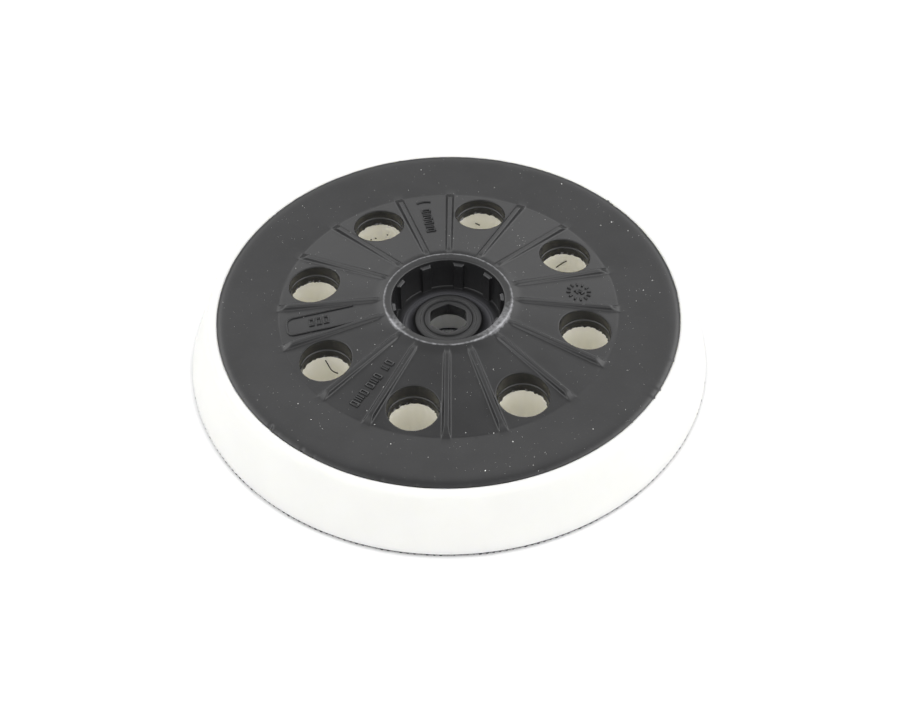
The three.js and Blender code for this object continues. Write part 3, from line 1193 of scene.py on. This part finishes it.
# %% [markdown]
# ## Foam cushion
#
# The foam is cast round the plate's edge. It stands up round the plate in a rounded shoulder, its
# side slopes straight out to the hook face, and the dust holes and the centre hole go through
# it. It is a firm pad, so it keeps its turned shape; only small waves in the skin tell that it is
# cast and soft. Its shape comes from the same rings and sectors as the plate.

# %% Rows of the cushion's outside
SHOULDER_ROUND = 1.5
SHOULDER_REACH = 1.3
FOAM_COLUMNS = 720
CENTRE_HOLE = 7.5
FOAM_HOLE = 6.1
foam_angles = hole_angle - HALF + np.arange(FOAM_COLUMNS) * 2 * np.pi / FOAM_COLUMNS
lip_radius = plate_radius - 0.12
shoulder_centre = (plate_radius + SHOULDER_REACH, foam_crown - SHOULDER_ROUND)


def skin_wave(angles, height, period, size):
    """Gentle swelling of the cast skin, the same at both ends of a turn."""
    k = pad_radius / period
    spots = [Vector((math.cos(a) * k, math.sin(a) * k, height / period)) for a in angles]
    return np.array([size * noise.noise(spot) for spot in spots])


def shoulder_rows():
    run, drop = pad_radius - shoulder_centre[0], shoulder_centre[1] - cloth_top
    side = math.atan2(run, drop) - math.asin(SHOULDER_ROUND / math.hypot(run, drop))
    rows = [(lip_radius + 0.1, edge_level - 0.3)]
    rows += [(plate_radius + 0.2, edge_level - 0.08), (plate_radius + 0.7, foam_crown + 0.02)]
    for angle in np.linspace(math.pi / 2, side, 12):
        out, up = SHOULDER_ROUND * math.cos(angle), SHOULDER_ROUND * math.sin(angle)
        rows.append((shoulder_centre[0] + out, shoulder_centre[1] + up))
    start = rows[-1]
    foot = (pad_radius - 0.05, cloth_top + 0.15)
    steps = np.linspace(0.08, 1, 12)
    slope = [(start[0] + (foot[0] - start[0]) * t, start[1] + (foot[1] - start[1]) * t) for t in steps]
    return rows + slope


foam_side = Shell()
side_rows = [circle(foam_angles, lip_radius, height) for height in (plate_bottom, ring_height - 1.2)]
for radius, height in shoulder_rows():
    wave = skin_wave(foam_angles, height, 6, 0.05)
    side_rows.append(circle(foam_angles, radius - 0.04 + wave, height))
side_rows += [circle(foam_angles, pad_radius - inset, cloth_top) for inset in (0.1, 0.6)]
foam_side.stack(side_rows)

# %% [markdown]
# The inside of the cushion follows the plate: a seat under it, a recess round each collar, and a
# deep recess for the hub. Only the walls of the dust holes and of the centre hole can be seen.

# %% Build the cushion's sector and centre
COLLAR_GAP = 0.3
foam_steps = FOAM_COLUMNS // HOLES


def foam_sector():
    shell = Shell()
    clear = lambda x, y: from_hole(x, y) > 2.6
    seat = spread(18, 52, 4.0, clear)
    top = sector_sheet(
        shell, CUP_RADIUS + COLLAR_GAP, lip_radius, collar_radius + COLLAR_GAP,
        foam_steps, foam_steps, np.arange(18, 52, 4.0), seat, flat_at(plate_bottom),
    )  # fmt: skip
    ledge = [(collar_radius + COLLAR_GAP, collar_bottom), (FOAM_HOLE + 0.12, collar_bottom)]
    ledge += [(FOAM_HOLE, collar_bottom - 0.12)]
    walls = [(FOAM_HOLE, height) for height in np.linspace(collar_bottom - 0.5, cloth_top + 0.4, 14)]
    rows = [bore_row(*row) for row in ledge + walls]
    for row, (radius, height) in zip(rows[3:], walls):
        around = np.linspace(0, 2 * np.pi, HOLE_POINTS, endpoint=False)
        spots = [Vector((math.cos(a) * 3, math.sin(a) * 3, height * 0.9)) for a in around]
        wave = np.array([0.035 * noise.noise(spot) for spot in spots])
        row[:, 0] += wave * np.cos(around)
        row[:, 1] += wave * np.sin(around)
    last = shell.stack(rows, top)
    low = spread(10, 59, 4.0, lambda x, y: from_hole(x, y) > 1.5)
    bottom = sector_sheet(
        shell, CENTRE_HOLE, pad_radius - 0.6, FOAM_HOLE,
        foam_steps, foam_steps, np.arange(10, 59, 4.0), low, flat_at(cloth_top),
    )  # fmt: skip
    shell.bridge(last, bottom)
    return shell


def foam_centre():
    rows = [
        (CUP_RADIUS + COLLAR_GAP, plate_bottom),
        (CUP_RADIUS + COLLAR_GAP, cup_bottom),
        (CENTRE_HOLE + 0.1, cup_bottom),
        (CENTRE_HOLE, cup_bottom - 0.1),
        (CENTRE_HOLE, 5.0),
        (CENTRE_HOLE, cloth_top + 0.6),
        (CENTRE_HOLE, cloth_top),
    ]
    shell = Shell()
    shell.stack([circle(foam_angles, radius, height) for radius, height in rows])
    return shell


def paint_hole_glow(mesh):
    """The walls of the dust holes, where a creamier colour and a glow are painted in as light."""
    painted_hole_glow = mesh.attributes.new("painted_hole_glow", "FLOAT", "POINT")
    values = np.zeros(len(mesh.vertices))
    for i, vertex in enumerate(mesh.vertices):
        values[i] = from_hole_centre(vertex.co.x / MM, vertex.co.y / MM) < collar_radius + 1
    painted_hole_glow.data.foreach_set("value", values)


foam_mesh = with_shells(
    repeat_sectors(round_axis, foam_sector(), foam_white), [foam_side, foam_centre()], "foam_cushion"
)
print("open edges in the foam:", close_up(foam_mesh))
paint_hole_glow(foam_mesh)
foam = link("foam_cushion", foam_mesh, foam_white)
register(foam, "foam", "foam_pad")

# %% [markdown]
# ## Hook cloth
#
# ### Ground cloth
#
# The ground is a thin woven sheet, laminated under the foam. It is made with the same sectors: a
# top and a bottom sheet and the walls of the holes between them, with turned rims at the centre
# hole and at the stamped outer edge, which bulges a little at mid-height.

# %% Make the ground cloth
GROUND_LOW = 0.5
GROUND_RADIUS = pad_radius - 0.3
CLOTH_HOLE = 6.2


def cloth_sector():
    shell = Shell()
    clear = lambda x, y: from_hole(x, y) > 1.2
    sides, cloud = np.arange(10, 59, 3.0), spread(9, 59, 3.0, clear)
    rings = [
        sector_sheet(
            shell, CENTRE_HOLE, GROUND_RADIUS, CLOTH_HOLE,
            foam_steps, foam_steps, sides, cloud, flat_at(height),
        )
        for height in (cloth_top, GROUND_LOW)
    ]  # fmt: skip
    shell.bridge(*rings)
    return shell


def cloth_rims():
    shell = Shell()
    for radius in (CENTRE_HOLE, GROUND_RADIUS):
        middle = (cloth_top + GROUND_LOW) / 2
        bulge = 0.05 if radius > CENTRE_HOLE else 0
        rows = [(radius, cloth_top), (radius + bulge, middle), (radius, GROUND_LOW)]
        shell.stack([circle(foam_angles, r, z) for r, z in rows])
    return shell


cloth_mesh = with_shells(
    repeat_sectors(round_axis, cloth_sector(), hook_ground), [cloth_rims()], "hook_cloth_ground"
)
print("open edges in the cloth:", close_up(cloth_mesh))
cloth = link("hook_cloth_ground", cloth_mesh, hook_ground)
register(cloth, "hook_cloth", "hook_cloth")

# %% [markdown]
# ### Cut yarns round the edge
#
# Where the cloth was stamped out, the ends of its yarns show as small dark lumps, about 1.45 mm
# apart, along the whole rim. One lump is modelled as a short spindle-shaped tube. Geometry Nodes
# places it round a circle, with a seeded jitter in size and direction.


# %% Build the yarn-end tree
def lump_mesh():
    """A yarn end, 0.8 mm long: a spindle-shaped tube that lies along Y."""
    shell = Shell()
    around = np.linspace(0, 2 * np.pi, 8, endpoint=False)
    profile = [(-0.42, 0.02), (-0.34, 0.16), (-0.12, 0.24), (0.12, 0.24), (0.34, 0.16), (0.42, 0.02)]
    rings = []
    for along, radius in profile:
        ring = np.stack([radius * np.cos(around), np.full(8, along), radius * np.sin(around)], axis=1)
        rings.append(shell.ring(ring))
    for first, second in zip(rings, rings[1:]):
        shell.bridge(first, second)
    shell.faces += [tuple(rings[0]), tuple(reversed(rings[-1]))]
    return shell


def rim_tree():
    tree, given = start_tree(
        "yarn_ends_round_rim",
        Count=("NodeSocketInt", 264),
        Radius=("NodeSocketFloat", 60 * MM),
        Height=("NodeSocketFloat", 0.6 * MM),
        Seed=("NodeSocketInt", 3),
    )
    ring = add(tree, "GeometryNodeMeshCircle", {"Vertices": given["Count"], "Radius": given["Radius"]})
    jitter = add(
        tree,
        "FunctionNodeRandomValue",
        {"Min": (-0.05 * MM,) * 3, "Max": (0.05 * MM,) * 3, "Seed": given["Seed"]},
        data_type="FLOAT_VECTOR",
    )
    lift = add(tree, "ShaderNodeCombineXYZ", {"Z": given["Height"]})
    offset = add(
        tree, "ShaderNodeVectorMath", {0: lift.outputs[0], 1: jitter.outputs["Value"]}, operation="ADD"
    )
    moved = add(
        tree, "GeometryNodeSetPosition", {"Geometry": ring.outputs[0], "Offset": offset.outputs[0]}
    )
    index = add(tree, "GeometryNodeInputIndex").outputs[0]
    step = add(tree, "ShaderNodeMath", {0: 2 * math.pi, 1: given["Count"]}, operation="DIVIDE")
    angle = add(tree, "ShaderNodeMath", {0: index, 1: step.outputs[0]}, operation="MULTIPLY")
    tilt = add(
        tree, "FunctionNodeRandomValue", {2: -0.35, 3: 0.35, "Seed": given["Seed"]}, data_type="FLOAT"
    )
    turn = add(tree, "ShaderNodeCombineXYZ", {"X": tilt.outputs[1], "Z": angle.outputs[0]})
    size = add(
        tree, "FunctionNodeRandomValue", {2: 0.75, 3: 1.15, "Seed": given["Seed"]}, data_type="FLOAT"
    )
    placed = add(
        tree,
        "GeometryNodeInstanceOnPoints",
        {
            "Points": moved.outputs[0],
            "Instance": given["Geometry"],
            "Rotation": turn.outputs[0],
            "Scale": size.outputs[1],
        },
    )
    add(tree, "NodeGroupOutput", {0: end_tree(tree, given, placed.outputs[0])})
    return tree


YARN_PITCH = 1.45
YARN_HEIGHT = 0.7
yarn_count = round(2 * math.pi * pad_radius / YARN_PITCH)
lump = link("yarn_end", mesh_of([lump_mesh()], "yarn_end"), hook_filament)
rim = {"Count": yarn_count, "Radius": GROUND_RADIUS * MM, "Height": YARN_HEIGHT * MM, "Seed": 3}
yarn_mesh = grow(rim_tree(), lump, hook_filament, **rim)
close_up(yarn_mesh)
yarns = link("cut_yarn_ends", yarn_mesh, hook_filament)
register(yarns, "hook_cloth")

# %% [markdown]
# ### Field of hooks
#
# The working face is a field of small bent filaments. One hook is a thin tube that rises from the
# ground cloth and curls over. A hexagonal grid of points covers the disc, the points over the
# holes are dropped, and each hook is turned by a seeded random angle. The real spacing is about
# 1 mm; it is drawn at 1.5 mm to keep the mesh light.


# %% Model one hook
HOOK_INSET = 0.6


def hook_shell():
    """A hook that hangs down from the ground cloth, 0.4 mm long: four rings of four points."""
    shell = Shell()
    around = np.linspace(0, 2 * np.pi, 4, endpoint=False)
    rings = []
    path = [(0, 0.05, 0, 0.1), (0.01, -0.16, 0.3, 0.09), (0.14, -0.3, 1.4, 0.08), (0.3, -0.2, 2.4, 0.05)]
    for x, z, turn, wide in path:
        outward = wide * np.cos(around)
        ring = [x + outward * math.cos(turn), wide * np.sin(around), z + outward * math.sin(turn)]
        rings.append(shell.ring(np.stack(ring, axis=1)))
    for first, second in zip(rings, rings[1:]):
        shell.bridge(first, second)
    shell.faces += [tuple(rings[0]), tuple(reversed(rings[-1]))]
    return shell


def hook_points(spacing):
    """A grid of points on the ground cloth, clear of its edge and holes."""
    rows = np.arange(-pad_radius, pad_radius, spacing * math.sqrt(3) / 2)
    columns = np.arange(-pad_radius, pad_radius, spacing)
    grid = [(x + (i % 2) * spacing / 2, y) for i, y in enumerate(rows) for x in columns]
    x, y = np.array(grid).T
    radius = np.hypot(x, y)
    keep = (radius < pad_radius - HOOK_INSET - 0.3) & (radius > CENTRE_HOLE + HOOK_INSET)
    keep &= from_hole_centre(x, y) > CLOTH_HOLE + HOOK_INSET
    return np.column_stack([x, y, np.full(len(x), GROUND_LOW)])[keep]


# %% Scatter the hooks
def scatter_tree():
    tree, given = start_tree(
        "hooks_on_points",
        Points_Mesh=("NodeSocketObject", None),
        Seed=("NodeSocketInt", 11),
    )
    base = add(
        tree,
        "GeometryNodeObjectInfo",
        {"Object": given["Points Mesh"]},
        transform_space="RELATIVE",
    )
    spin = add(
        tree,
        "FunctionNodeRandomValue",
        {"Min": (-0.15, -0.15, 0), "Max": (0.15, 0.15, 2 * math.pi), "Seed": given["Seed"]},
        data_type="FLOAT_VECTOR",
    )
    placed = add(
        tree,
        "GeometryNodeInstanceOnPoints",
        {
            "Points": base.outputs["Geometry"],
            "Instance": given["Geometry"],
            "Rotation": spin.outputs["Value"],
        },
    )
    add(tree, "NodeGroupOutput", {0: end_tree(tree, given, placed.outputs[0])})
    return tree


HOOK_SPACING = 1.5
spots = hook_points(HOOK_SPACING)
spot_mesh = bpy.data.meshes.new("hook_spots")
spot_mesh.from_pydata([tuple(c * MM for c in p) for p in spots], [], [])
spot_object = link("hook_spots", spot_mesh, hook_filament)
one_hook = link("one_hook", mesh_of([hook_shell()], "one_hook"), hook_filament)
hook_mesh = grow(scatter_tree(), one_hook, hook_filament, Points_Mesh=spot_object, Seed=11)
bpy.data.objects.remove(spot_object)
close_up(hook_mesh)
hooks = link("hook_field", hook_mesh, hook_filament)
register(hooks, "hook_cloth")
print(len(spots), "hooks")

# %% [markdown]
# The ground cloth was stamped as a ring with holes from a square of tape as wide as the pad.

# %% [markdown]
# ## Sanding dust
#
# Pale crumbs lie on the plate, thicker in some places than in others. Geometry Nodes scatters them
# on the faces that look up, apart from the bottom of the socket and the rim's crest, which use keeps
# clean: a noise sets how many fall where, and a few are much larger than the rest.


# %% Build the dust tree
CREST_CLEAR = 0.4


def dust_tree():
    tree, given = start_tree(
        "dust_on_top",
        Density=("NodeSocketFloat", 60000.0),
        Clump=("NodeSocketFloat", 12 * MM),
        Size=("NodeSocketFloat", 0.1 * MM),
        Seed=("NodeSocketInt", 7),
    )
    normal = add(tree, "GeometryNodeInputNormal").outputs[0]
    up = add(tree, "ShaderNodeSeparateXYZ", {0: normal}).outputs["Z"]
    place = add(tree, "GeometryNodeInputPosition").outputs[0]
    height = add(tree, "ShaderNodeSeparateXYZ", {0: place}).outputs["Z"]
    level = add(tree, "FunctionNodeCompare", {0: up, 1: 0.9}, operation="GREATER_THAN")
    lowest, highest = (ring_height + FOLD_LEVEL - 0.1) * MM, (rim_crest - CREST_CLEAR) * MM
    above = add(tree, "FunctionNodeCompare", {0: height, 1: lowest}, operation="GREATER_THAN")
    under = add(tree, "FunctionNodeCompare", {0: height, 1: highest}, operation="LESS_THAN")
    between = add(
        tree, "FunctionNodeBooleanMath", {0: above.outputs[0], 1: under.outputs[0]}, operation="AND"
    )
    chosen = add(
        tree, "FunctionNodeBooleanMath", {0: level.outputs[0], 1: between.outputs[0]}, operation="AND"
    )
    scale = add(tree, "ShaderNodeMath", {0: 1.0, 1: given["Clump"]}, operation="DIVIDE")
    cloud = add(tree, "ShaderNodeTexNoise", {"Scale": scale.outputs[0], "Detail": 2.0})
    thick = add(
        tree,
        "ShaderNodeMapRange",
        {"Value": cloud.outputs["Fac"], "From Min": 0.42, "From Max": 0.7, "To Min": 0.1, "To Max": 1.0},
    )
    density = add(
        tree, "ShaderNodeMath", {0: thick.outputs[0], 1: given["Density"]}, operation="MULTIPLY"
    )
    points = add(
        tree,
        "GeometryNodeDistributePointsOnFaces",
        {
            "Mesh": given["Geometry"],
            "Selection": chosen.outputs[0],
            "Density": density.outputs[0],
            "Seed": given["Seed"],
        },
    )
    crumb = add(tree, "GeometryNodeMeshIcoSphere", {"Radius": given["Size"], "Subdivisions": 1})
    chance = add(
        tree, "FunctionNodeRandomValue", {2: 0.0, 3: 1.0, "Seed": given["Seed"]}, data_type="FLOAT"
    )
    rare = add(tree, "ShaderNodeMath", {0: chance.outputs[1], 1: 9.0}, operation="POWER")
    size = add(
        tree,
        "ShaderNodeMapRange",
        {"Value": rare.outputs[0], "To Min": 0.45, "To Max": 1.9},
    )
    spin = add(
        tree,
        "FunctionNodeRandomValue",
        {"Max": (6.28, 6.28, 6.28), "Seed": given["Seed"]},
        data_type="FLOAT_VECTOR",
    )
    squash = add(
        tree,
        "FunctionNodeRandomValue",
        {"Min": (0.6, 0.6, 0.5), "Max": (1.3, 1.0, 0.9), "Seed": given["Seed"]},
        data_type="FLOAT_VECTOR",
    )
    shape = add(
        tree,
        "ShaderNodeVectorMath",
        {0: squash.outputs["Value"], "Scale": size.outputs[0]},
        operation="SCALE",
    )
    placed = add(
        tree,
        "GeometryNodeInstanceOnPoints",
        {
            "Points": points.outputs["Points"],
            "Instance": crumb.outputs[0],
            "Rotation": spin.outputs["Value"],
            "Scale": shape.outputs[0],
        },
    )
    add(tree, "NodeGroupOutput", {0: end_tree(tree, given, placed.outputs[0])})
    return tree


ground = link("dust_ground", plate_mesh.copy(), nylon)
dust_mesh = grow(dust_tree(), ground, dust_white, Density=240000.0, Clump=9 * MM, Size=0.11 * MM, Seed=7)
close_up(dust_mesh)
dust = link("sanding_dust", dust_mesh, dust_white)
register(dust, "plate")

# %% [markdown]
# Two hairs of dark swarf cling to the foam inside the dust holes, and a few specks beside them.


# %% Hang the swarf in the holes
def in_hole(number, turn, height, out=0.12):
    """A point on the foam's wall in a hole, turn radians from the axis-facing side."""
    angle = hole_angle + number * SECTOR
    x, y = hole_pitch * math.cos(angle), hole_pitch * math.sin(angle)
    reach = FOAM_HOLE - out
    return x + reach * math.cos(turn), y + reach * math.sin(turn), height


straight = [in_hole(0, math.radians(90 + 14 - t * 24), 6.4 + 2.0 * t, 0.2) for t in np.linspace(0, 1, 5)]
curled = [
    in_hole(4, math.radians(96 - 26 * t), 9.6 - 4.2 * t, 0.2 + 1.0 * math.sin(t * math.pi))
    for t in np.linspace(0, 1, 9)
]
short = [in_hole(1, math.radians(100 - 10 * t), 7.6 - 0.8 * t, 0.2) for t in np.linspace(0, 1, 3)]
specks = [
    [in_hole(2, math.radians(a), z, 0.15), in_hole(2, math.radians(a - 3), z - 0.15, 0.15)]
    for a, z in ((104, 6.3), (115, 6.2), (75, 7.5))
]
swarf = swept("swarf_hairs", [straight, curled, short, *specks], 0.28, swarf_dark)
register(swarf, "plate")

# %% [markdown]
# ## Floor and light
#
# The pad lies on white paper under a broad, soft light, as for a catalogue. The light is a sky that
# is brightest about 25 degrees above the horizon, dim below that and weaker overhead, and stronger
# towards both sides. So the plate's face takes a soft sheen while its edges and the flanks of its
# ribs stay dark. The floor is left out of reflections, because paper that close would lighten
# those edges.


# %% Lay the floor
def make_paper():
    material, tree, shader, place = start_material("white_background_paper", Roughness=0.9)
    tone = add(tree, "ShaderNodeTexNoise", {"Vector": place, "Scale": per_mm(40)})
    colour = ramp(tree, tone.outputs["Fac"], (0.3, linear("#fbfbfb")), (0.7, linear("#fefefe")))
    tree.links.new(colour, shader.inputs["Base Color"])
    return material


FLOOR_SIZE = 4000
half = FLOOR_SIZE / 2
floor_mesh = bpy.data.meshes.new("floor")
corners = [(-half, -half, 0), (half, -half, 0), (half, half, 0), (-half, half, 0)]
floor_mesh.from_pydata([tuple(c * MM for c in p) for p in corners], [], [(0, 1, 2, 3)])
floor = link("floor", floor_mesh, make_paper())
floor.visible_glossy = False


# %% Light the sky
SKY_LEAN = 0.15
SKY_STRENGTH = 0.84


def make_sky():
    world = bpy.data.worlds.new("studio_sky")
    world.use_nodes = True
    tree = world.node_tree
    tree.nodes.clear()
    way = add(tree, "ShaderNodeTexCoord").outputs["Generated"]
    parts = add(tree, "ShaderNodeSeparateXYZ", {0: way})
    rise = add(tree, "ShaderNodeMath", {0: parts.outputs["Z"]}, operation="ARCSINE")
    share = add(tree, "ShaderNodeMath", {0: rise.outputs[0], 1: math.pi / 2}, operation="DIVIDE")
    grey = lambda level: (level, level, level, 1)
    tall = ramp(
        tree,
        share.outputs[0],
        (0.0, grey(0.1)),
        (0.14, grey(0.3)),
        (0.27, grey(1.9)),
        (0.4, grey(1.75)),
        (0.52, grey(1.25)),
        (0.64, grey(0.95)),
        (0.75, grey(0.7)),
        (1.0, grey(0.7)),
    )
    sideways = add(tree, "ShaderNodeMath", {0: parts.outputs["X"]}, operation="ABSOLUTE")
    wings = ramp(
        tree, sideways.outputs[0], (0.0, grey(0.86)), (0.22, grey(1.18)), (0.4, grey(1.3)), (0.75, grey(2.1))
    )
    lean = add(
        tree, "ShaderNodeMath", {0: parts.outputs["X"], 1: SKY_LEAN, 2: wings}, operation="MULTIPLY_ADD"
    )
    strength = add(
        tree, "ShaderNodeMath", {0: lean.outputs[0], 1: SKY_STRENGTH}, operation="MULTIPLY"
    )
    glow = add(tree, "ShaderNodeBackground", {"Color": tall, "Strength": strength.outputs[0]})
    add(tree, "ShaderNodeOutputWorld", {"Surface": glow.outputs[0]})
    return world


bpy.context.scene.world = make_sky()
bpy.context.scene.view_settings.view_transform = "Standard"
